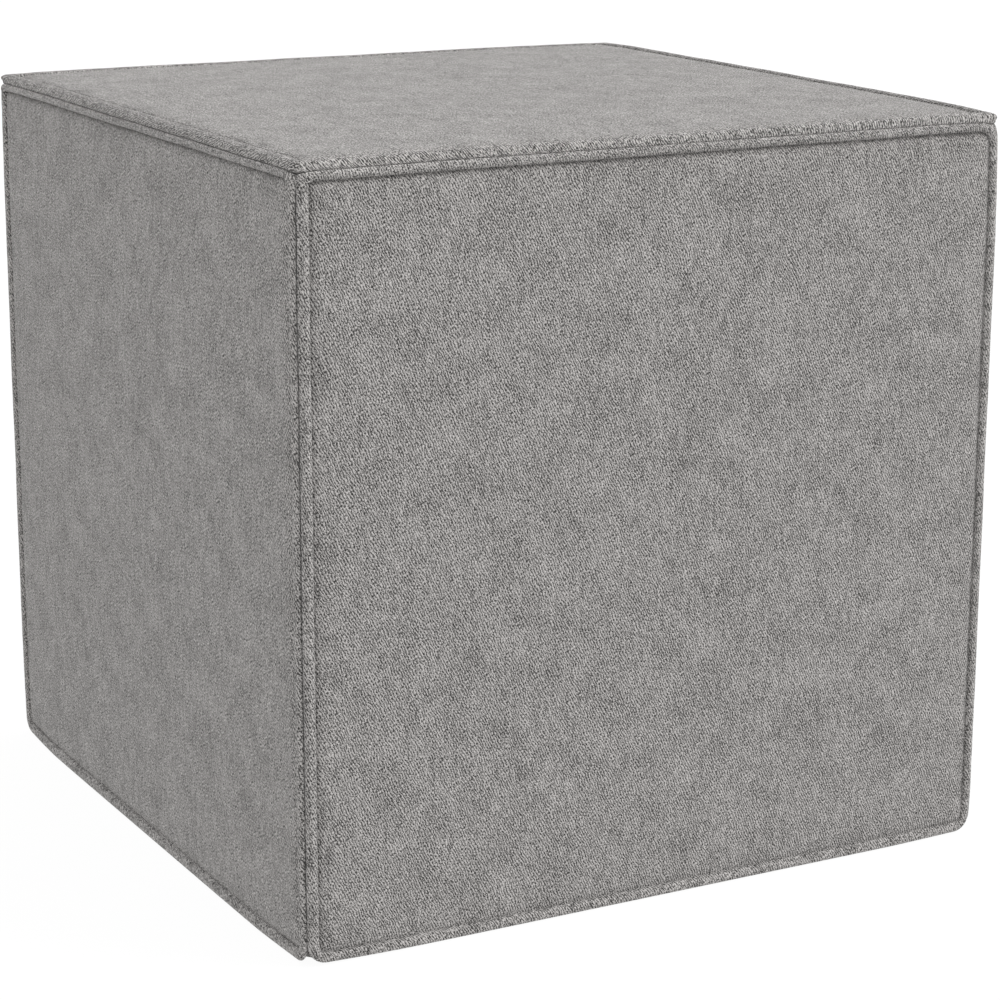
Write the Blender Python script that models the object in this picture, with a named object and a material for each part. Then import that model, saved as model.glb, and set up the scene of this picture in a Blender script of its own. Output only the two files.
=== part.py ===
"""Cube pouf stool: six sewn panels of grey upholstery cloth round their filling.

Every panel is a filled solid. Its outer side is the taut cloth: a slightly crowned field, a stitch
groove and a rolled rim. Behind the cloth it holds its share of the filling, which narrows at
45 degrees towards the middle of the cube, so the six panels close up to one filled cube with thin seams.
Metres, +Z up, the floor at Z = 0, the front of the pouf towards -Y.
"""
import bpy
import bmesh
from math import cos, pi, radians, sin, sqrt
from mathutils import Matrix, Vector

# Driving dimensions
RIM_TO_RIM = 0.450          # width and depth of the cube over the crests of its rims
RIM_TOP = 0.440             # height of the top panel's rim over the floor
SEAM_GAP = 0.0003           # space between two panels that are sewn together

# The rolled rim, in a cut across it: a round outer side, a crest and a steep inner side
RIM_RADIUS = 0.0026
TOP_RIM_RISE = 0.0014       # the top panel's rim stands this much taller than the others
GROOVE_DEPTH = 0.0025
HEM_LIFT = 0.0004           # the lowest rims hang this much over the floor
HEM_FILLET = 0.0012         # edge of the base panel, pressed flat by the weight

# The field rises softly from the groove: distance from the groove, depth under the rim's crest
FIELD_EDGE = (
    {"from_groove": 0.0070, "depth": 0.0004},
    {"from_groove": 0.0028, "depth": 0.0009},
    {"from_groove": 0.0010, "depth": 0.0016},
)

# The panels as seen from outside. A hem is the distance from an edge of the cube to the stitch groove,
# a corner is the radius of the outline there.
PANELS = {
    "top_panel": {
        "outward": "+Z", "crown": 0.0040,
        "hems": {"left": 0.0090, "right": 0.0090, "lower": 0.0090, "upper": 0.0090},
        "corners": {"upper_right": 0.0045, "upper_left": 0.0030, "lower_left": 0.0060, "lower_right": 0.0035},
    },
    "base_panel": {
        "outward": "-Z", "crown": 0.0,
        "hems": {"left": 0.0120, "right": 0.0120, "lower": 0.0120, "upper": 0.0120},
        "corners": {"upper_right": 0.022, "upper_left": 0.024, "lower_left": 0.024, "lower_right": 0.028},
    },
    "front_panel": {
        "outward": "-Y", "crown": 0.0035,
        "hems": {"left": 0.0104, "right": 0.0094, "lower": 0.0096, "upper": 0.0090},
        "corners": {"upper_right": 0.0125, "upper_left": 0.0040, "lower_left": 0.0115, "lower_right": 0.0105},
    },
    "back_panel": {
        "outward": "+Y", "crown": 0.0035,
        "hems": {"left": 0.0098, "right": 0.0094, "lower": 0.0098, "upper": 0.0088},
        "corners": {"upper_right": 0.0090, "upper_left": 0.0105, "lower_left": 0.0100, "lower_right": 0.0110},
    },
    "left_panel": {
        "outward": "-X", "crown": 0.0035,
        "hems": {"left": 0.0100, "right": 0.0088, "lower": 0.0106, "upper": 0.0080},
        "corners": {"upper_right": 0.0090, "upper_left": 0.0070, "lower_left": 0.0100, "lower_right": 0.0095},
    },
    "right_panel": {
        "outward": "+X", "crown": 0.0035,
        "hems": {"left": 0.0092, "right": 0.0096, "lower": 0.0100, "upper": 0.0086},
        "corners": {"upper_right": 0.0085, "upper_left": 0.0100, "lower_left": 0.0105, "lower_right": 0.0095},
    },
}

# The corners of the cube: how far the stitching draws them in, sideways and towards half the height,
# and how far the tip of the top panel's rim stands out over them
CORNERS = {
    ("left", "front", "top"): {"sideways": 0.0012, "upright": 0.0010, "tip": 0.0},
    ("right", "front", "top"): {"sideways": 0.0016, "upright": 0.0020, "tip": 0.0022},
    ("left", "back", "top"): {"sideways": 0.0006, "upright": 0.0010, "tip": 0.0030},
    ("right", "back", "top"): {"sideways": 0.0010, "upright": 0.0012, "tip": 0.0020},
    ("left", "front", "bottom"): {"sideways": 0.0008, "upright": 0.0014, "tip": 0.0},
    ("right", "front", "bottom"): {"sideways": 0.0006, "upright": 0.0006, "tip": 0.0},
    ("left", "back", "bottom"): {"sideways": 0.0010, "upright": 0.0028, "tip": 0.0},
    ("right", "back", "bottom"): {"sideways": 0.0010, "upright": 0.0010, "tip": 0.0},
}
DRAW_SHARPNESS = 8          # a higher power keeps the draw nearer to the corner
TIP_LENGTH = 0.013          # a tip begins this far from its corner

# The filling behind a panel
CORNER_CLOSE_DEPTH = 0.014  # from here inwards the filling has sharp corners
SHARP_RADIUS = 0.0015
INNER_END_HALF = 0.011      # half width of a panel's blunt inner end

# How finely the panels are divided
SIDE_STEPS = 8
CORNER_STEPS = 4
FIELD_RINGS = (0.06, 0.32, 0.58, 0.80, 0.94)    # sizes of the rings of the field, as parts of it
RIM_INNER_ANGLES = (160, 130, 90)
RIM_OUTER_ANGLES = (60, 30, 0, -22, -45)

CLOTH_COLOUR = (0.27, 0.262, 0.255, 1.0)
CLOTH_ROUGHNESS = 0.92

# Worked out from the sizes above
ROOT_2 = sqrt(2)
CREST_INSET = RIM_RADIUS + (RIM_RADIUS + SEAM_GAP / 2) * ROOT_2
OUTERMOST_INSET = CREST_INSET - RIM_RADIUS
RIM_BOTTOM = HEM_LIFT - OUTERMOST_INSET
EDGE_TOP = RIM_TOP - TOP_RIM_RISE
HALF_WIDTH = RIM_TO_RIM / 2
HALF_HEIGHT = (EDGE_TOP - RIM_BOTTOM) / 2
MIDDLE = Vector((0, 0, (EDGE_TOP + RIM_BOTTOM) / 2))


def rounded_ring(low, high, radii):
    """Points round a rectangle with round corners, closer together towards the corners."""
    centre = (low + high) / 2
    half = (high - low) / 2
    arcs = []
    for corner, radius in enumerate(radii):
        turn = Matrix.Rotation(corner * pi / 2, 2)
        across, along = (half.x, half.y) if corner % 2 == 0 else (half.y, half.x)
        arc = []
        for step in range(CORNER_STEPS + 1):
            angle = step / CORNER_STEPS * pi / 2
            round_point = Vector((across - radius * (1 - cos(angle)), along - radius * (1 - sin(angle))))
            arc.append(centre + turn @ round_point)
        arcs.append(arc)
    points = []
    for arc, next_arc in zip(arcs, arcs[1:] + arcs[:1]):
        points += arc
        for step in range(1, SIDE_STEPS):
            gone = (1 - cos(pi * step / SIDE_STEPS)) / 2
            points.append(arc[-1].lerp(next_arc[0], gone))
    return points


class Panel:
    """One sewn panel: where it faces, its half sizes and the rings that it is built from."""

    def __init__(self, outward, crown, hems, corners):
        self.crown = crown
        self.hems = hems
        self.corners = corners
        self.rests = outward == "-Z"
        self.rise = TOP_RIM_RISE if outward == "+Z" else 0.0
        axis = "XYZ".index(outward[1])
        normal = Vector((0, 0, 0))
        normal[axis] = 1 if outward[0] == "+" else -1
        upward = Vector((0, 1, 0)) if axis == 2 else Vector((0, 0, 1))
        self.turn = Matrix((upward.cross(normal), upward, normal)).transposed()
        self.half = Vector((HALF_WIDTH, HALF_WIDTH if axis == 2 else HALF_HEIGHT))
        self.face_centre = normal * (HALF_HEIGHT if axis == 2 else HALF_WIDTH)

    def radii(self, inset):
        """The corner radii of a ring shrink with its distance from the outermost one."""
        names = ("upper_right", "upper_left", "lower_left", "lower_right")
        return [max(self.corners[name] - max(inset - OUTERMOST_INSET, 0), SHARP_RADIUS) for name in names]

    def even_ring(self, inset, radii):
        low = Vector((inset, inset)) - self.half
        return rounded_ring(low, -low, radii)

    def groove_ring(self, past_groove, size=1.0):
        """A ring that lies a distance inside the groove (less than 0 is outside), or a part of it."""
        low = Vector((self.hems["left"], self.hems["lower"])) - self.half
        high = self.half - Vector((self.hems["right"], self.hems["upper"]))
        step = Vector((past_groove, past_groove))
        radii = [radius * size for radius in self.radii(self.hems["left"] + past_groove)]
        return rounded_ring((low + step) * size, (high - step) * size, radii)

    def field(self):
        """The crowned field, from its flat middle out to its soft edge."""
        start = FIELD_EDGE[0]
        base = RIM_BOTTOM if self.rests else -start["depth"]
        edge = self.half - Vector((self.hems["left"], self.hems["lower"]))
        for size in FIELD_RINGS:
            ring = []
            for u, v in self.groove_ring(start["from_groove"], size):
                bulge = (1 - (u / edge.x) ** 2) * (1 - (v / edge.y) ** 2)
                bulge = 1.0 if size == FIELD_RINGS[0] else bulge
                ring.append((u, v, base + self.crown * bulge))
            yield ring

    def groove(self):
        """The soft edge of the field and the stitch groove."""
        for step in FIELD_EDGE:
            yield [(u, v, -step["depth"]) for u, v in self.groove_ring(step["from_groove"])]
        yield [(u, v, -GROOVE_DEPTH) for u, v in self.groove_ring(0)]

    def rim(self):
        """The rolled rim, from its steep inner side over the crest and round to the seam."""
        crest = self.even_ring(CREST_INSET, self.radii(CREST_INSET))
        for angle in RIM_INNER_ANGLES:
            share = -cos(radians(angle))
            depth = GROOVE_DEPTH * (1 - sin(radians(angle)))
            ring = [c.lerp(g, share) for c, g in zip(crest, self.groove_ring(0))]
            yield [(u, v, -depth) for u, v in ring]
        for angle in RIM_OUTER_ANGLES:
            inset = CREST_INSET - RIM_RADIUS * cos(radians(angle))
            ring = self.even_ring(inset, self.radii(inset if angle > 0 else 0))
            yield [(u, v, RIM_RADIUS * (sin(radians(angle)) - 1)) for u, v in ring]

    def pressed_edge(self):
        """The base has no rim: its edge is pressed flat on the floor and turns up in a small fillet."""
        edge = SEAM_GAP / ROOT_2 - RIM_BOTTOM
        for inset, depth in ((2.4, 0), (1.4, 0), (0.6, 0.3), (1.0, 1.0)):
            outline = self.even_ring(edge + inset * HEM_FILLET, self.radii(0))
            yield [(u, v, RIM_BOTTOM - depth * HEM_FILLET) for u, v in outline]

    def filling(self):
        """The mitred sides behind the rim, down to the blunt inner end."""
        for depth in (CORNER_CLOSE_DEPTH, HALF_WIDTH - INNER_END_HALF):
            ring = self.even_ring(depth + SEAM_GAP / ROOT_2, [SHARP_RADIUS] * 4)
            yield [(u, v, -depth) for u, v in ring]

    def rings(self):
        """All rings, in the place of the panel on the cube."""
        shapes = (self.field, self.pressed_edge) if self.rests else (self.field, self.groove, self.rim)
        for shape in shapes + (self.filling,):
            for ring in shape():
                yield [self.face_centre + self.turn @ Vector(point) for point in ring]


def nearest_corner(point):
    side = "left" if point.x < 0 else "right"
    end = "front" if point.y < 0 else "back"
    level = "bottom" if point.z < 0 else "top"
    return CORNERS[side, end, level]


def away(value, distance):
    """Moves a coordinate away from the middle of the cube."""
    return value + (distance if value > 0 else -distance)


def drawn_in(point):
    """Moves a point of the cube as the stitching at the nearest corner draws it in."""
    corner = nearest_corner(point)
    nearness = 1.0
    for value, half in zip(point, (HALF_WIDTH, HALF_WIDTH, HALF_HEIGHT)):
        nearness *= min(abs(value) / half, 1) ** DRAW_SHARPNESS
    sideways = -corner["sideways"] * nearness
    return Vector((away(point.x, sideways), away(point.y, sideways),
                   away(point.z, -corner["upright"] * nearness)))


def raised_rim(point, rise):
    """Raises the top panel's rim and field over its seam, and draws out the tips of its corners."""
    seam_height = HALF_HEIGHT - RIM_RADIUS * (1 + 1 / ROOT_2)
    side_height = HALF_HEIGHT - RIM_RADIUS
    over_seam = min(max((point.z - seam_height) / (side_height - seam_height), 0), 1)
    to_edge = HALF_WIDTH - OUTERMOST_INSET - min(abs(point.x), abs(point.y))
    nearness = min(max(1 - to_edge / TIP_LENGTH, 0), 1) ** 2
    roundness = 1 - (1 - over_seam) ** 2
    out = nearest_corner(point)["tip"] * nearness * roundness
    return Vector((away(point.x, out), away(point.y, out), point.z + rise * over_seam))


def woven_cloth(name):
    material = bpy.data.materials.new(name)
    material.use_nodes = True
    shader = material.node_tree.nodes["Principled BSDF"]
    shader.inputs["Base Color"].default_value = CLOTH_COLOUR
    shader.inputs["Roughness"].default_value = CLOTH_ROUGHNESS
    shader.inputs["Metallic"].default_value = 0.0
    material.diffuse_color = CLOTH_COLOUR
    return material


def make_panel(name, shape):
    """Bridges the rings of a panel and closes its middle and its inner end."""
    panel = Panel(**shape)
    bm = bmesh.new()
    loops = []
    for ring in panel.rings():
        if panel.rise:
            ring = [raised_rim(point, panel.rise) for point in ring]
        corners = [bm.verts.new(MIDDLE + drawn_in(point)) for point in ring]
        loops.append([bm.edges.new((a, b)) for a, b in zip(corners, corners[1:] + corners[:1])])
    for inner, outer in zip(loops, loops[1:]):
        bmesh.ops.bridge_loops(bm, edges=inner + outer)
    bmesh.ops.holes_fill(bm, edges=loops[0] + loops[-1])
    bmesh.ops.recalc_face_normals(bm, faces=bm.faces)
    mesh = bpy.data.meshes.new(name)
    bm.to_mesh(mesh)
    bm.free()
    mesh.shade_smooth()
    mesh.set_sharp_from_angle(angle=radians(40))
    mesh.materials.append(woven_cloth(name + "_cloth"))
    piece = bpy.data.objects.new(name, mesh)
    bpy.context.collection.objects.link(piece)
    return piece


def main():
    for thing in list(bpy.data.objects):
        bpy.data.objects.remove(thing, do_unlink=True)
    pouf = bpy.data.objects.new("pouf", None)
    bpy.context.collection.objects.link(pouf)
    for name, shape in PANELS.items():
        make_panel(name, shape).parent = pouf


main()
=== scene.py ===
# %% [markdown]
# # A cube pouf in heathered grey cloth
#
# A cube pouf is a block of firm foam in a sewn cover of six panels. On the real one each seam is made
# twice: the panels are joined with their edges outside, and a second row of stitches runs round every
# panel about a centimetre inside its edge. The cloth between the two rows stands up as a rolled rim,
# the second row pulls a groove into the foam, and inside it the cloth is taut over a slight crown.
#
# So the pouf could be one rounded block with lines on it, but then the rims and grooves would be only
# paint. Here every panel is its own filled piece, as it is sewn: a field of cloth, a groove and a rim.
# This first cell loads the part that the looks are built around, and puts each solid's place into its mesh.

# %% Load the part
from math import cos, pi, radians, sin, sqrt

import bpy
import numpy as np
from mathutils import Matrix, Vector, noise


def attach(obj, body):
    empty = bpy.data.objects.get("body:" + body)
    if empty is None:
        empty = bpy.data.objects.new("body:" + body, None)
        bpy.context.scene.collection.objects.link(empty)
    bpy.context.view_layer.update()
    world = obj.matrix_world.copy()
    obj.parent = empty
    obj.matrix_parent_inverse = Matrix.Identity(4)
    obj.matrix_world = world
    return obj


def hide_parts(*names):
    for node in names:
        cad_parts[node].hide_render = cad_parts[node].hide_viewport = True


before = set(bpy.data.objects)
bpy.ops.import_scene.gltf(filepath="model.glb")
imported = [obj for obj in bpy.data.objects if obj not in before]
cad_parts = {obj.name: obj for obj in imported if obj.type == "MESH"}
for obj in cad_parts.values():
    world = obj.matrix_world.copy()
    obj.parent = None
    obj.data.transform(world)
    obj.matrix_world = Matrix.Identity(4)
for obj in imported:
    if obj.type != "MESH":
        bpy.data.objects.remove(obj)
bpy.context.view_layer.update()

print("nodes:", sorted(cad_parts))

# %% [markdown]
# ## The camera
#
# A photograph fixes only directions, so the camera's place, turn and lens were worked out together from
# the corners and seams of the cube. It stands to the left in front of the pouf and looks a little down on
# it, and its lens is fairly long, so the edges draw together only slowly. A shifted lens would keep the
# upright edges parallel, but the other views would keep the shift too, so there is none.

# %% Set up the camera
CAMERA_AT = Vector((-0.8385, -1.5788, 0.6507))
CAMERA_AZIMUTH, CAMERA_PITCH, CAMERA_ROLL = radians(28.444), radians(14.615), radians(0.143)
LENS_MM, SENSOR_MM = 106.23, 36.0
CLIP_START = 0.05

ahead = Vector((sin(CAMERA_AZIMUTH), cos(CAMERA_AZIMUTH), 0))
view = ahead * cos(CAMERA_PITCH) - Vector((0, 0, sin(CAMERA_PITCH)))
camera_data = bpy.data.cameras.new("camera")
camera_data.lens = LENS_MM
camera_data.sensor_width = SENSOR_MM
camera_data.clip_start = CLIP_START
camera = bpy.data.objects.new("camera", camera_data)
bpy.context.scene.collection.objects.link(camera)
level = view.to_track_quat("-Z", "Y").to_matrix()
camera.matrix_world = Matrix.Translation(CAMERA_AT) @ (level @ Matrix.Rotation(CAMERA_ROLL, 3, "Z")).to_4x4()
bpy.context.scene.camera = camera
print("camera at", tuple(round(value, 3) for value in camera.location), "m, lens", LENS_MM, "mm")

# %% [markdown]
# ## The light table and the light
#
# The pouf stands on plain white with hardly any shadow, as on a lit table of white acrylic, where light
# comes from the surface as well as from above. A white room gives every side the same soft light, and one
# very large lamp, high up at the right, makes the top the lightest face and the left face the darkest. It
# also lights each rim from one side, which is what shows that the rims are round.

# %% Set up the floor and the light
scene = bpy.context.scene
scene.view_settings.view_transform = "Standard"
scene.view_settings.look = "None"

WHITE = "#FFFFFF"
WORLD_STRENGTH = 1.0
LAMP_STRENGTH = 2.6
LAMP_FROM = Vector((0.9, -0.325, 0.85))
LAMP_SPREAD = radians(50)
ACRYLIC_UNLIT = "#454545"
ACRYLIC_GLOW = 0.95
FLOOR_SIZE = 30.0


def linear(hex_colour):
    """The linear colour of an sRGB hex value."""
    parts = [int(hex_colour[i:i + 2], 16) / 255 for i in (1, 3, 5)]
    return tuple(c / 12.92 if c <= 0.04045 else ((c + 0.055) / 1.055) ** 2.4 for c in parts) + (1.0,)


def add_node(tree, kind, inputs=None, **settings):
    """Adds a shader node. An input is given by its name or number, as a value or as an output to link."""
    added = tree.nodes.new("ShaderNode" + kind)
    for name, value in settings.items():
        setattr(added, name, value)
    for key, value in (inputs or {}).items():
        if isinstance(value, bpy.types.NodeSocket):
            tree.links.new(value, added.inputs[key])
        else:
            added.inputs[key].default_value = value
    return added


world = bpy.data.worlds.new("white_room")
scene.world = world
world.use_nodes = True
room_light = world.node_tree.nodes["Background"]
room_light.inputs["Color"].default_value = linear(WHITE)
room_light.inputs["Strength"].default_value = WORLD_STRENGTH

bpy.ops.object.select_all(action="DESELECT")
bpy.ops.object.light_add(type="SUN", location=(0, 0, 2))
lamp = bpy.context.object
lamp.name = "large_soft_lamp"
lamp.rotation_euler = LAMP_FROM.to_track_quat("Z", "Y").to_euler()
lamp.data.energy = LAMP_STRENGTH
lamp.data.angle = LAMP_SPREAD

bpy.ops.object.select_all(action="DESELECT")
bpy.ops.mesh.primitive_plane_add(size=FLOOR_SIZE)
floor = bpy.context.object
floor.name = "light_table"

# Cast acrylic, sanded matt: it mirrors nothing, and most of its white is the light that comes through.
acrylic = bpy.data.materials.new("lit_white_acrylic")
acrylic.use_nodes = True
acrylic_shader = acrylic.node_tree.nodes["Principled BSDF"]
acrylic_shader.inputs["Base Color"].default_value = linear(ACRYLIC_UNLIT)
acrylic_shader.inputs["Roughness"].default_value = 0.9
acrylic_shader.inputs["Specular IOR Level"].default_value = 0.0
acrylic_shader.inputs["Emission Color"].default_value = linear(WHITE)
acrylic_shader.inputs["Emission Strength"].default_value = ACRYLIC_GLOW
floor.data.materials.append(acrylic)
print("lamp from", tuple(LAMP_FROM), "floor", floor.name)

# %% [markdown]
# ## The sizes
#
# The panels share most of their sizes. What makes the pouf look sewn by hand is how they differ: each hem
# is a little wider or narrower, and each corner is turned with its own radius. The panels lie where the
# solids of the part lie; only their rims and grooves are finer, so that here and there the two differ by
# a millimetre or two. Lengths are in metres, as in all of Blender, unless a comment says otherwise.

# %% Name the sizes
RIM_TO_RIM = 0.450          # over the crests of the rims
RIM_TOP = 0.440             # height of the top panel's rim
SEAM_GAP = 0.0001           # between two panels
CREST_SHARES = np.array((0.66, 0.66, 0.62, 0.68))   # a rim is highest at this share of its hem
RIM_WIDEST = 0.0026         # and widest at this distance inside the cube's edge
RIM_DROP = 0.0025           # height of the crest over there
UPRIGHT_SEAM_OPEN = 0.0004  # the rims at an upright seam lie further inside by this
SEAM_DEPTH = 0.0028         # how deep the rims of two panels meet
TOP_RIM_RISE = 0.0014       # the top panel's rim is this much taller than the others
TOP_SEAM_DROP = 0.0014      # it hangs over the seam below it, which is lower than at the other rims by this
GROOVE_DEPTH = 0.0027       # from the crest of the rim down to the stitch line
HEM_LIFT = 0.0004           # the lowest rims clear the floor by this
HEM_FILLET = 0.0012         # size of the base's edge, where it turns up
SHARP_RADIUS = 0.0015       # of a corner that is tucked in
FULL_DEPTH_AT = 0.008       # from here inwards the filling has sharp corners
INNER_END_HALF = 0.011      # half the width of the hollow in the middle of the pouf

RIM_BOTTOM = HEM_LIFT - RIM_WIDEST
EDGE_TOP = RIM_TOP - TOP_RIM_RISE
HALF_WIDTH = RIM_TO_RIM / 2
HALF_HEIGHT = (EDGE_TOP - RIM_BOTTOM) / 2
MIDDLE = np.array((0, 0, (EDGE_TOP + RIM_BOTTOM) / 2))

# In millimetres, as seen from outside. Hems: edge of the cube to the stitch groove, at the
# left, right, lower and upper side. Corners: radius of the outline there.
PANELS = {
    "top": {"outward": "+Z", "crown": 4.0, "hems": (9.0, 9.0, 9.0, 9.0),
            "corners": {(1, 1): 4.5, (-1, 1): 3.0, (-1, -1): 6.0, (1, -1): 3.5}},
    "base": {"outward": "-Z", "crown": 0.0, "hems": (12.0, 12.0, 12.0, 12.0),
             "corners": {(1, 1): 22.0, (-1, 1): 24.0, (-1, -1): 24.0, (1, -1): 28.0}},
    "front": {"outward": "-Y", "crown": 3.5, "hems": (9.8, 8.2, 9.2, 9.5),
              "corners": {(1, 1): 12.5, (-1, 1): 9.5, (-1, -1): 11.5, (1, -1): 10.5}},
    "back": {"outward": "+Y", "crown": 3.5, "hems": (9.8, 9.4, 9.5, 8.8),
             "corners": {(1, 1): 9.0, (-1, 1): 10.5, (-1, -1): 10.0, (1, -1): 11.0}},
    "left": {"outward": "-X", "crown": 3.5, "hems": (10.0, 8.8, 10.4, 8.5),
             "corners": {(1, 1): 11.5, (-1, 1): 7.0, (-1, -1): 10.0, (1, -1): 9.5}},
    "right": {"outward": "+X", "crown": 3.5, "hems": (9.2, 9.6, 9.7, 8.6),
              "corners": {(1, 1): 8.5, (-1, 1): 10.0, (-1, -1): 10.5, (1, -1): 9.5}},
}
print(len(PANELS), "panels, widest", round(1000 * RIM_WIDEST, 2), "mm inside the cube's edge")

# %% [markdown]
# ## Helpers for meshes
#
# Blender's operators act on what is selected, so every step starts with nothing selected. Whole meshes are
# moved as arrays of numbers, which is quick, and a value for every vertex is kept in a mesh attribute.
# Such an attribute is copied when an edge is extruded, so a new vertex still knows the place on the
# border that it came from.

# %% Define the helpers


def start_alone(piece=None):
    """Leaves nothing selected, or one piece alone, which is then the active one."""
    bpy.ops.object.select_all(action="DESELECT")
    if piece:
        piece.select_set(True)
        bpy.context.view_layer.objects.active = piece


def points_of(piece):
    flat = np.empty(len(piece.data.vertices) * 3)
    piece.data.vertices.foreach_get("co", flat)
    return flat.reshape(-1, 3)


def move_points(piece, points):
    piece.data.vertices.foreach_set("co", np.ascontiguousarray(points, dtype=np.float64).ravel())
    piece.data.update()


def keep_value(piece, name, values):
    """Keeps one number for every vertex in an attribute."""
    layer = piece.data.attributes.new(name, "FLOAT", "POINT")
    layer.data.foreach_set("value", np.asarray(values, dtype=np.float32))


def kept_value(piece, name):
    values = np.empty(len(piece.data.vertices), dtype=np.float32)
    piece.data.attributes[name].data.foreach_get("value", values)
    return values.astype(float)


def rounded(across, along, low, high, radii):
    """Points of a rectangle with round corners, from places across and along it that run from -1 to 1."""
    centre, half = (low + high) / 2, (high - low) / 2
    points = np.stack([across, along], axis=1) * half
    for signs, radius in radii.items():
        arc_centre = half - radius
        past = points * signs - arc_centre
        turned = (past > 0).all(axis=1)
        part = np.clip(past[turned] / radius, 0, 1)
        bent = part * np.sqrt(1 - part[:, ::-1] ** 2 / 2)
        points[turned] = (arc_centre + bent * radius) * signs
    return centre + points


print("helpers are ready")

# %% [markdown]
# ## One panel's outlines
#
# A panel is described in its own plane: x runs to the right and y upwards as seen from outside, and z
# points out of the pouf. It is a stack of outlines. The first is the stitch line, then come those that
# climb the steep inner side of the rim, pass over its crest and round down to the seam, and two more
# lead back along the filling towards the middle of the cube. Where three rims meet at an upper corner,
# their round corners would leave a hole between them. On the real pouf the ends of the cloth are tucked
# in there, so just below the surface the corners of the outlines are nearly sharp and close the hole.

# %% Describe the outlines of a panel
INNER_SIDE = (0.03, 0.09, 0.19, 0.34, 0.54, 0.78, 1.0)   # steps from the stitch line to the crest
INNER_FULLNESS = 2.5                                     # 2 is an arc, more makes a steeper wall
# Degrees round the outer side of the rim, each with the part of its radius that an upper corner has there.
OUTER_SIDE = ((70, 1.0), (50, 1.0), (31, 1.0), (13, 1.0), (-4, 0.75), (-20, 0.12))
# The base's edge: how far inside and how high each outline lies, as parts of its fillet.
PRESSED_EDGE = ((2.4, 0), (1.4, 0), (0.9, 0.1), (0.6, 0.4), (0.65, 0.75), (1.0, 1.0))


class Panel:
    """The sizes of one panel in metres, and the outlines that it is made of."""

    def __init__(self, name, outward, crown, hems, corners):
        self.name, self.outward = name, outward
        self.crown = crown / 1000
        left, right, lower, upper = (hem / 1000 for hem in hems)
        self.corners = {signs: radius / 1000 for signs, radius in corners.items()}
        self.rests = outward == "-Z"
        self.rise = TOP_RIM_RISE if outward == "+Z" else 0.0
        self.stretch = 1 + (self.rise + TOP_SEAM_DROP) / RIM_DROP if self.rise else 1.0
        axis = "XYZ".index(outward[1])
        normal = Vector((0, 0, 0))
        normal[axis] = 1 if outward[0] == "+" else -1
        upward = Vector((0, 1, 0)) if axis == 2 else Vector((0, 0, 1))
        self.turn = np.array(Matrix((upward.cross(normal), upward, normal)).transposed())
        self.half = np.array((HALF_WIDTH, HALF_WIDTH if axis == 2 else HALF_HEIGHT))
        self.face_centre = np.array(normal) * (HALF_HEIGHT if axis == 2 else HALF_WIDTH)
        self.hems = np.array((left, right, lower, upper))
        at_side = 0 if axis == 2 else UPRIGHT_SEAM_OPEN
        self.widest = RIM_WIDEST + np.array((at_side, at_side, 0, 0))

    def radii(self, inset):
        """The corner radii of an outline, smaller the further inside it lies."""
        return {signs: max(radius - max(inset - RIM_WIDEST, 0), SHARP_RADIUS)
                for signs, radius in self.corners.items()}

    def outline(self, insets, height, radii=None):
        """An outline at one distance inside the cube's edge, or at four: left, right, lower and upper."""
        left, right, lower, upper = np.broadcast_to(insets, 4)
        low, high = np.array((left, lower)) - self.half, self.half - np.array((right, upper))
        return low, high, radii or self.radii(np.mean(insets)), height

    def stitch_line(self):
        return self.outline(self.hems, -GROOVE_DEPTH)

    def pressed_edge(self):
        """The base has no rim: its edge lies flat on the floor and turns up."""
        edge = SEAM_GAP / sqrt(2) - RIM_BOTTOM
        for inset, lift in PRESSED_EDGE:
            yield self.outline(edge + inset * HEM_FILLET, RIM_BOTTOM - lift * HEM_FILLET, self.radii(0))

    def rim(self):
        """Up the inner side of the rim to its crest, and down its outer side to the seam."""
        crest = self.hems * CREST_SHARES
        for share in INNER_SIDE:
            height = (1 - (1 - share) ** INNER_FULLNESS) ** (1 / INNER_FULLNESS)
            yield self.outline(self.hems + (crest - self.hems) * share, GROOVE_DEPTH * (height - 1))
        for angle, roundness in OUTER_SIDE:
            insets = crest - (crest - self.widest) * cos(radians(angle))
            height = RIM_DROP * (sin(radians(angle)) - 1)
            pressed = np.maximum(insets, SEAM_GAP / sqrt(2) - height)
            radii = self.radii(np.mean(insets) if angle > 0 else 0)
            for signs in ((-1, 1), (1, 1)):
                radii[signs] *= roundness
            yield self.outline(pressed, height, radii)

    def filling(self):
        """Back along the filling, whose sides are mitred, to its blunt inner end."""
        for depth in (FULL_DEPTH_AT, HALF_WIDTH - INNER_END_HALF):
            yield self.outline(depth + SEAM_GAP / sqrt(2), -depth, {s: SHARP_RADIUS for s in self.corners})

    def outlines(self):
        """All outlines outside the stitch line: lowest and highest corner, corner radii and height."""
        return list(self.pressed_edge() if self.rests else self.rim()) + list(self.filling())


panels = [Panel(name, **sizes) for name, sizes in PANELS.items()]
print({panel.name: len(panel.outlines()) for panel in panels}, "outlines")

# %% [markdown]
# ## The field of cloth
#
# The field is the cloth inside the stitch line. It starts as a grid that lies flat, with closer lines
# towards its border, where the small corner radii are. Its corners are bent round by moving the points of
# the grid, so that its border is the stitch line itself.

# %% Add the flat fields
CELLS = 92
EDGE_SHARE = 0.90           # how much closer the grid's lines are at the border


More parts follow.
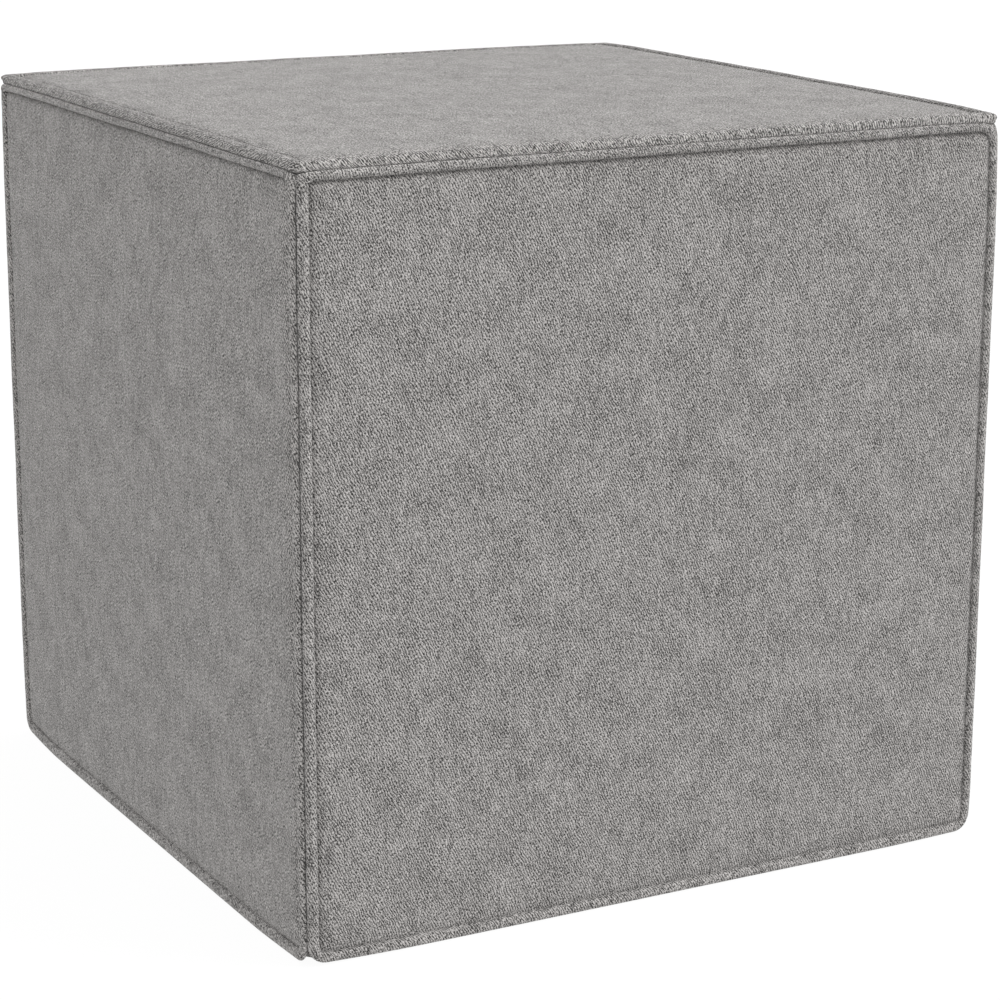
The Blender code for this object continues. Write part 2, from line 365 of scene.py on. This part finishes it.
def add_field(panel):
    start_alone()
    bpy.ops.mesh.primitive_grid_add(x_subdivisions=CELLS, y_subdivisions=CELLS, size=2.0)
    piece = bpy.context.object
    piece.name = piece.data.name = panel.name + "_padded_panel"
    even = points_of(piece)[:, :2]
    placed = (1 - EDGE_SHARE) * even + EDGE_SHARE * np.sin(pi / 2 * even)
    keep_value(piece, "across", placed[:, 0])
    keep_value(piece, "along", placed[:, 1])
    low, high, radii, _ = panel.stitch_line()
    flat = rounded(placed[:, 0], placed[:, 1], low, high, radii)
    move_points(piece, np.column_stack([flat, np.zeros(len(flat))]))
    return piece


fields = {panel.name: add_field(panel) for panel in panels}
print(len(fields["front"].data.vertices), "points in each field")

# %% [markdown]
# ## The crown
#
# On the real pouf the foam is cut a little larger than its cover, so it presses the cloth outwards, and
# the cloth bulges until its own tension holds the foam back. That could be drawn as a formula, but a cloth
# simulation finds it as the pouf does: the field is held at its stitch line, a steady pressure pushes from
# behind, and there is no gravity. Twenty frames are enough. The real crown is only a few millimetres high,
# so the result is capped: it is scaled to the crown of its panel. The base rests on the floor and stays flat.

# %% Press the fields out by simulation
PRESSURE = 4.0
FRAMES = 20
SOFT_EDGE = 0.0024          # how quickly the field rises out of the groove
EDGE_BELOW_CREST = 0.0004   # the field's edge lies this far below the crest of the rim
ON_BORDER = 0.9999          # a point this far across or along the panel is on its stitch line


def hold_and_press(piece):
    """Gives a field its cloth simulation: upholstery cloth, which stretches little and bends easily."""
    border = np.maximum(abs(kept_value(piece, "across")), abs(kept_value(piece, "along"))) > ON_BORDER
    stitched = piece.vertex_groups.new(name="stitched")
    stitched.add([int(number) for number in np.flatnonzero(border)], 1.0, "ADD")
    cloth = piece.modifiers.new("cloth", "CLOTH")
    cloth.point_cache.frame_start, cloth.point_cache.frame_end = 1, FRAMES
    settings = cloth.settings
    settings.quality = 6
    settings.mass = 0.4
    settings.tension_stiffness = settings.compression_stiffness = 30
    settings.shear_stiffness = 15
    settings.bending_stiffness = 1.0
    settings.air_damping = 3.0
    settings.vertex_group_mass = stitched.name
    settings.use_pressure = True
    settings.uniform_pressure_force = PRESSURE
    settings.effector_weights.gravity = 0.0
    cloth.collision_settings.use_collision = False
    cloth.collision_settings.use_self_collision = False


def inside_line(points, low, high, radii):
    """Distance of each point from the stitch line, towards the middle of the field."""
    centre, half = (low + high) / 2, (high - low) / 2
    distance = np.empty(len(points))
    for signs, radius in radii.items():
        here = ((points - centre) * signs >= 0).all(axis=1)
        past = (points[here] - centre) * signs - (half - radius)
        outside = np.sqrt((np.maximum(past, 0) ** 2).sum(axis=1))
        distance[here] = radius - outside - np.minimum(past.max(axis=1), 0)
    return np.maximum(distance, 0)


def shape_field(panel, piece, pressed):
    """Gives a field the pressed shape, capped to the panel's crown and dipping to its stitch line."""
    flat = points_of(piece)
    if panel.rests:
        flat[:, 2] = RIM_BOTTOM
    else:
        from_line = inside_line(flat[:, :2], *panel.stitch_line()[:3])
        bulge = pressed / pressed.max() * panel.crown
        dip = (GROOVE_DEPTH - EDGE_BELOW_CREST) * np.exp(-from_line / SOFT_EDGE)
        flat[:, 2] = bulge - EDGE_BELOW_CREST - dip
    move_points(piece, flat)


for panel in panels:
    if not panel.rests:
        hold_and_press(fields[panel.name])
for frame_number in range(1, FRAMES + 1):
    scene.frame_set(frame_number)
for panel in panels:
    piece = fields[panel.name]
    pressed = np.zeros(len(piece.data.vertices))
    if not panel.rests:
        result = piece.evaluated_get(bpy.context.evaluated_depsgraph_get())
        pressed = points_of(result)[:, 2]
        piece.modifiers.remove(piece.modifiers["cloth"])
        print(panel.name, "field pressed out by", round(1000 * pressed.max(), 1), "mm before the cap")
    shape_field(panel, piece, pressed)
scene.frame_set(1)
print("crown of the top in mm:", round(1000 * points_of(fields["top"])[:, 2].max(), 2))

# %% [markdown]
# ## Rim, groove and filling
#
# The rest of a panel grows out of the border of its field. The border is extruded once for every outline,
# each time a whole metre down, so that the height of a new point says which outline it belongs to. Its
# place across and along the panel was copied from the border, and the two together put it on its
# outline. At the sides of the pouf the weight of the foam then eases the lower grooves and presses the
# lower rims out a little, while the pull of the top panel makes the upper grooves deeper.

# %% Extrude the borders and lay them on their outlines
LOWER_EASE = 0.3            # the weight of the foam takes this share of the depth of the lower grooves
LOWER_BULGE = 0.0013        # and presses the lower rims out by this
UPPER_PULL = 0.40           # the upper grooves are deeper by this share, as the top panel pulls on them
LOWER_REACH = 0.006         # the ease of the lower grooves ends this far from the stitch line
UPPER_REACH = 0.005         # and the pull on the upper ones this far from it
CORNER_STAYS = 0.02         # up to here from a corner the lower rims and grooves keep their shape
CORNER_ENDS = 0.06          # and from here on they are wholly eased


def extrude_border(piece, times):
    """Extrudes the border, each time a metre down, so that the rings can be told apart."""
    start_alone(piece)
    bpy.ops.object.mode_set(mode="EDIT")
    bpy.ops.mesh.select_mode(type="VERT")
    bpy.ops.mesh.select_all(action="DESELECT")
    bpy.ops.mesh.select_non_manifold()
    for _ in range(times):
        bpy.ops.mesh.extrude_region_move(TRANSFORM_OT_translate={"value": (0.0, 0.0, -1.0)})
    bpy.ops.object.mode_set(mode="OBJECT")


def weigh_down(panel, points):
    """Eases the lower groove of a side panel, presses its lower rim out and deepens its upper groove."""
    low, high = panel.stitch_line()[:2]
    near_lower = np.interp(abs(points[:, 1] - low[1]), (0, LOWER_REACH), (1, 0))
    near_upper = np.interp(abs(points[:, 1] - high[1]), (0, UPPER_REACH), (1, 0))
    off_corner = np.interp(panel.half[0] - abs(points[:, 0]), (CORNER_STAYS, CORNER_ENDS), (0, 1))
    points[:, 2] *= 1 - LOWER_EASE * near_lower * off_corner + UPPER_PULL * near_upper
    over_rim = np.clip((low[1] - points[:, 1]) / panel.hems[2], 0, 1)
    points[:, 2] += LOWER_BULGE * np.sin(pi * over_rim) * off_corner
    return points


def lay_outlines(panel, piece):
    """Lays every extruded ring on its outline, and keeps where each point is on the flat cloth."""
    points = points_of(piece)
    ring = np.rint(-points[:, 2]).astype(int)
    across, along = kept_value(piece, "across"), kept_value(piece, "along")
    line = rounded(across, along, *panel.stitch_line()[:3])
    before = np.column_stack([line, np.full(len(line), -GROOVE_DEPTH)])
    walked = np.zeros(len(points))
    for number, (low, high, radii, height) in enumerate(panel.outlines(), start=1):
        here = np.column_stack([rounded(across, along, low, high, radii), np.full(len(line), height)])
        step = (here - before) * (1, 1, panel.stretch)
        walked += np.linalg.norm(step, axis=1) * (ring >= number)
        points[ring == number] = here[ring == number]
        before = here
    outward = before[:, :2] * 0
    rim = ring > 0
    widest = rounded(across, along, *panel.outline(RIM_WIDEST, 0)[:3])
    outward[rim] = (widest - line)[rim] / np.linalg.norm(widest - line, axis=1)[rim, None]
    cloth = np.where(rim[:, None], line + outward * walked[:, None], points[:, :2])
    keep_value(piece, "cloth_x", cloth[:, 0])
    keep_value(piece, "cloth_y", cloth[:, 1])
    keep_value(piece, "bent", rim)
    if panel.outward[1] != "Z":
        points = weigh_down(panel, points)
    move_points(piece, points)


for panel in panels:
    piece = fields[panel.name]
    extrude_border(piece, len(panel.outlines()))
    lay_outlines(panel, piece)
print("points in the front panel:", len(fields["front"].data.vertices))

# %% [markdown]
# ## Onto the cube
#
# Each panel is turned to its side of the cube. Then the cube is drawn in at its corners, where three
# seams meet and the thread is pulled tight, and the corners of the top panel's rim stand out as
# small ears. Last comes a slight unevenness: a sewn edge is never quite straight. It depends only on
# the place in the room, so two panels that share a seam move together and stay apart. Blender's vector
# noise isn't the same in every run, so each direction takes plain noise, a step away from the others.

# %% Place the panels and make them uneven
# The cube's corners by their signs in X, Y and Z, in millimetres: how far the stitching draws them in,
# sideways and upright, and how far the tip of the top panel's rim stands out there.
CORNERS = {
    (-1, -1, 1): (1.2, 1.0, 0.0), (1, -1, 1): (1.6, 2.0, 2.2),
    (-1, 1, 1): (0.6, 1.0, 3.0), (1, 1, 1): (1.0, 1.2, 2.0),
    (-1, -1, -1): (0.8, 1.4, 0.0), (1, -1, -1): (0.6, 0.6, 0.0),
    (-1, 1, -1): (1.0, 2.8, 0.0), (1, 1, -1): (1.0, 1.0, 0.0),
}
DRAW_SHARPNESS = 8          # the higher, the nearer to the corner the drawing in stays
TIP_LENGTH = 0.013          # of the ears of the top panel's rim
TOP_SEAM_OUT = 0.0010       # the seam under the top panel's rim lies less deep than the others by this
EASED_DOWN_TO = 0.0092      # the pull on that seam ends this far below the cube's upper edge
EASED_FROM, EASED_TO = 0.009, 0.005   # inside the cube's sides it sets in here, and is full here
WAVERS = ((0.00035, 0.055), (0.00015, 0.009))   # how far a sewn edge strays, and over which length
NOISE_STEPS = (Vector((0, 0, 0)), Vector((31.7, 11.3, 7.9)), Vector((-17.1, 5.3, 23.9)))
CALM_NEAR_FLOOR = 0.02      # below about this height the edges stray less


def corner_values(points):
    """The values of the cube's corner that is nearest to each point."""
    signs = [tuple(row) for row in np.where(points < 0, -1, 1)]
    return np.array([CORNERS[key] for key in signs]) / 1000


def raise_rim(points, rise):
    """Raises the top panel over its seam, and draws the corners of its rim out to small ears."""
    seam_height, side_height = HALF_HEIGHT - SEAM_DEPTH, HALF_HEIGHT - SEAM_DEPTH / 2
    over_seam = np.clip((points[:, 2] - seam_height) / (side_height - seam_height), 0, 1)
    to_edge = HALF_WIDTH - RIM_WIDEST - abs(points[:, :2]).min(axis=1)
    nearness = np.clip(1 - to_edge / TIP_LENGTH, 0, 1) ** 2
    out = corner_values(points)[:, 2] * nearness * (1 - (1 - over_seam) ** 2)
    points[:, :2] += np.sign(points[:, :2]) * out[:, None]
    points[:, 2] += rise * over_seam
    return points


def ease_top_seam(points):
    """Pulls the seam under the top panel's rim down and out. The crest above and the groove below stay."""
    above, seam, below = HALF_HEIGHT, HALF_HEIGHT - SEAM_DEPTH, HALF_HEIGHT - EASED_DOWN_TO
    nearness = np.interp(points[:, 2], (below, seam, above), (0, 1, 0))
    at_side = np.interp(abs(points[:, :2]), (HALF_WIDTH - EASED_FROM, HALF_WIDTH - EASED_TO), (0, 1))
    points[:, :2] += np.sign(points[:, :2]) * at_side * nearness[:, None] * TOP_SEAM_OUT
    points[:, 2] -= TOP_SEAM_DROP * nearness
    return points


def draw_in(points):
    """Draws the cube in at its corners."""
    part = np.clip(abs(points) / (HALF_WIDTH, HALF_WIDTH, HALF_HEIGHT), 0, 1)
    nearness = (part ** DRAW_SHARPNESS).prod(axis=1)
    sideways, upright, _ = corner_values(points).T
    pull = np.stack([sideways, sideways, upright], axis=1) * nearness[:, None]
    return points - np.sign(points) * pull


def waver(points):
    """Lets the sewn edges stray a little, but not down at the floor."""
    calm = np.clip((points[:, 2] - CALM_NEAR_FLOOR / 2) / CALM_NEAR_FLOOR, 0, 1)[:, None]
    for strength, length in WAVERS:
        places = [Vector(point) / length for point in points]
        stray = np.array([[noise.noise(place + step) for step in NOISE_STEPS] for place in places])
        points = points + strength * calm * stray
    return points


for panel in panels:
    piece = fields[panel.name]
    points = panel.face_centre + points_of(piece) @ panel.turn.T
    points = ease_top_seam(points)
    if panel.rise:
        points = raise_rim(points, panel.rise)
    move_points(piece, waver(MIDDLE + draw_in(points)))
every_point = 1000 * np.concatenate([points_of(piece) for piece in fields.values()])
print("the six panels in mm:", np.round(every_point.min(axis=0), 1), np.round(every_point.max(axis=0), 1))

# %% [markdown]
# ## A finer surface and a map of the cloth
#
# One level of subdivision rounds the rims. It comes before the inner end is filled, because a face with
# hundreds of corners is very slow to subdivide. The weave has to follow the cloth, over the crest of a rim
# and down its side, so each panel gets a UV map with the place on the flat cloth in metres. The threads
# then keep their real width everywhere.

# %% Smooth the panels and map the cloth


def map_cloth(piece):
    """Turns the kept places on the flat cloth into a UV map."""
    layer = piece.data.uv_layers.new(name="cloth")
    place = np.stack([kept_value(piece, "cloth_x"), kept_value(piece, "cloth_y")], axis=1)
    corners = np.empty(len(piece.data.loops), dtype=np.int32)
    piece.data.loops.foreach_get("vertex_index", corners)
    layer.data.foreach_set("uv", place[corners].astype(np.float32).ravel())
    for name in ("across", "along", "cloth_x", "cloth_y"):
        piece.data.attributes.remove(piece.data.attributes[name])


def smooth_out(piece):
    """Subdivides a panel once and closes its inner end."""
    finer = piece.modifiers.new("finer", "SUBSURF")
    finer.levels = finer.render_levels = 1
    start_alone(piece)
    bpy.ops.object.modifier_apply(modifier=finer.name)
    bpy.ops.object.mode_set(mode="EDIT")
    bpy.ops.mesh.select_mode(type="VERT")
    bpy.ops.mesh.select_all(action="DESELECT")
    bpy.ops.mesh.select_non_manifold()
    bpy.ops.mesh.edge_face_add()
    bpy.ops.mesh.select_all(action="SELECT")
    bpy.ops.mesh.normals_make_consistent(inside=False)
    bpy.ops.object.mode_set(mode="OBJECT")
    bpy.ops.object.shade_smooth()
    piece.vertex_groups.clear()


for piece in fields.values():
    map_cloth(piece)
    smooth_out(piece)
    triangles = sum(len(face.vertices) - 2 for face in piece.data.polygons)
    print(piece.name, triangles, "triangles")

# %% [markdown]
# ## The cloth
#
# The cover is upholstery cloth of spun polyester in a steep twill. Its ribs lean to the left, 1.5 mm apart,
# and every rib is a row of short floats of yarn. The fibres were dyed in several greys before they were
# spun, so the cloth is heathered: flecked from fibre to fibre, with a tone of its own in each float, and
# faintly clouded all over. It is matt, with a little fuzz.
#
# A picture of cloth would repeat and blur. Here the weave is laid out in millimetres on the cloth. Noise
# first pushes the place about, because woven yarns are never quite straight. A wave across the ribs is
# their height, a brick pattern along them gives every float its own tone, and a fine noise, drawn out
# along the ribs, is the fibres. Real fibres are far thinner, but they would be too fine to show: the
# flecks here are as wide as a small tuft of them.

# %% Weave the ribs
RIB_LEAN = radians(26)
RIB_WIDTH, FLOAT_LENGTH = 1.52, 3.4       # mm
DRIFTS = ((2.4, 13.0), (1.2, 3.0))        # mm: how far the ribs stray, and over which length
FIBRE_WIDTH, FIBRE_LENGTH = 0.48, 1.2     # mm
FLOAT_STAGGER = 0.37                      # a row of floats starts this part of a float further on
MM_PER_METRE, MM_PER_CM = 1000.0, 10

weave = bpy.data.materials.new("heathered_polyester_twill")
weave.use_nodes = True
tree = weave.node_tree
shader = tree.nodes["Principled BSDF"]

place = add_node(tree, "UVMap", uv_map="cloth")
scaled = add_node(tree, "VectorMath", {0: place.outputs["UV"], "Scale": MM_PER_METRE}, operation="SCALE")
in_mm = scaled.outputs["Vector"]
drifted = in_mm
for reach, length in DRIFTS:
    drift = add_node(tree, "TexNoise", {"Vector": in_mm, "Scale": 1 / length, "Detail": 1.0},
                     noise_dimensions="2D")
    pushed = add_node(tree, "VectorMath", {0: drift.outputs["Color"], 1: (reach, reach, 0.0), 2: drifted},
                      operation="MULTIPLY_ADD")
    drifted = pushed.outputs["Vector"]

# From here x runs along the ribs and y across them. The wave and the bricks count in centimetres.
turn = (0, 0, RIB_LEAN + pi / 2)
one_cm = (MM_PER_CM, MM_PER_CM, 1)
in_cm_along = add_node(tree, "Mapping", {"Vector": drifted, "Rotation": turn, "Scale": one_cm},
                       vector_type="TEXTURE")
ribs = add_node(tree, "TexWave", {"Vector": in_cm_along.outputs["Vector"], "Scale": pi / RIB_WIDTH},
                bands_direction="Y")
float_sizes = {"Brick Width": FLOAT_LENGTH / MM_PER_CM, "Row Height": RIB_WIDTH / MM_PER_CM}
float_tones = {"Mortar Size": 0.0, "Color1": (0, 0, 0, 1), "Color2": (1, 1, 1, 1)}
floats = add_node(tree, "TexBrick", {"Vector": in_cm_along.outputs["Vector"], "Scale": 1.0, **float_sizes,
                                     **float_tones}, offset=FLOAT_STAGGER)
float_tone = add_node(tree, "SeparateColor", {"Color": floats.outputs["Color"]}).outputs["Red"]
fibre_size = (FIBRE_LENGTH, FIBRE_WIDTH, 1)
in_fibres = add_node(tree, "Mapping", {"Vector": in_mm, "Rotation": turn, "Scale": fibre_size},
                     vector_type="TEXTURE")
fibres = add_node(tree, "TexNoise", {"Vector": in_fibres.outputs["Vector"], "Scale": 1.0, "Detail": 1.0},
                  noise_dimensions="2D")

# %% [markdown]
# Where the cloth is bent round a rim its floats open, and the dark between them shows as larger specks. The
# clouds of the heather are about 15 to 60 mm wide and faint. A warp yarn is spun from fibres of several
# greys and changes its tone every centimetre or two, which gives fine upright streaks.
#
# All these differences of tone are added up, each with its own share, and the sum runs through a scale of
# three greys. The middle grey is slightly warm, as undyed polyester is.

# %% Cloud and colour the cloth
GAP_WIDTH = 1.1             # mm
CLOUD_WIDTH = 28.0          # mm
WARP_STREAK = (2.6, 15.0)   # mm, width and length
MEAN_TONE = 0.54            # 0 is the darkest of the three greys and 1 the lightest
RELIEF = 0.0003             # height of the weave in metres
bent = add_node(tree, "Attribute", attribute_name="bent").outputs["Fac"]
gaps = add_node(tree, "TexVoronoi", {"Vector": in_mm, "Scale": 1 / GAP_WIDTH}, voronoi_dimensions="2D")
gap_chance = add_node(tree, "SeparateColor", {"Color": gaps.outputs["Color"]}).outputs["Red"]
open_tone = add_node(tree, "Mix", {"Factor": bent, "A": 0.5, "B": gap_chance}).outputs["Result"]
clouds = add_node(tree, "TexNoise", {"Vector": in_mm, "Scale": 1 / CLOUD_WIDTH, "Detail": 3.0},
                  noise_dimensions="2D").outputs["Fac"]
along_warp = add_node(tree, "Mapping", {"Vector": in_mm, "Scale": (*WARP_STREAK, 1.0)}, vector_type="TEXTURE")
warp_tone = add_node(tree, "TexNoise", {"Vector": along_warp.outputs["Vector"], "Scale": 1.0, "Detail": 2.0},
                     noise_dimensions="2D").outputs["Fac"]

# Each tone with its usual value and its share. A darker or lighter one strays from the usual value.
TONE_SHARES = ((ribs.outputs["Fac"], 0.5, 0.60), (float_tone, 0.5, 0.24), (fibres.outputs["Fac"], 0.5, 2.9),
               (clouds, 0.5, 0.32), (warp_tone, 0.5, 0.40), (open_tone, 0.5, 0.50))
tone = MEAN_TONE
for value, usual, share in TONE_SHARES:
    stray = add_node(tree, "Math", {0: value, 1: usual}, operation="SUBTRACT").outputs["Value"]
    tone = add_node(tree, "Math", {0: stray, 1: share, 2: tone}, operation="MULTIPLY_ADD").outputs["Value"]
colours = add_node(tree, "ValToRGB", {"Fac": tone})
ramp = colours.color_ramp
ramp.elements[0].color = linear("#2B2A29")
ramp.elements[1].color = linear("#B7B4B2")
ramp.elements.new(0.5).color = linear("#7A7876")
tree.links.new(colours.outputs["Color"], shader.inputs["Base Color"])

relief = add_node(tree, "Math", {0: ribs.outputs["Fac"], 1: fibres.outputs["Fac"]}, operation="ADD")
bump = add_node(tree, "Bump", {"Height": relief.outputs["Value"], "Strength": 1.0, "Distance": RELIEF})
tree.links.new(bump.outputs["Normal"], shader.inputs["Normal"])

# Spun polyester is matt: it has little gloss, and its fuzz gives a trace of sheen.
shader.inputs["Roughness"].default_value = 0.92
shader.inputs["Specular IOR Level"].default_value = 0.2
shader.inputs["Sheen Weight"].default_value = 0.10
shader.inputs["Sheen Roughness"].default_value = 0.5
print(len(tree.nodes), "nodes in", weave.name)

# %% [markdown]
# ## Finish the pieces
#
# Each padded panel stands for the solid of the same name, which is hidden, rides on the part's only body and
# takes the finish of its cloth. The cover is taut.

# %% Finish the pieces
for panel in panels:
    piece = fields[panel.name]
    piece.data.materials.append(weave)
    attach(piece, "root")
    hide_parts(panel.name + "_panel")
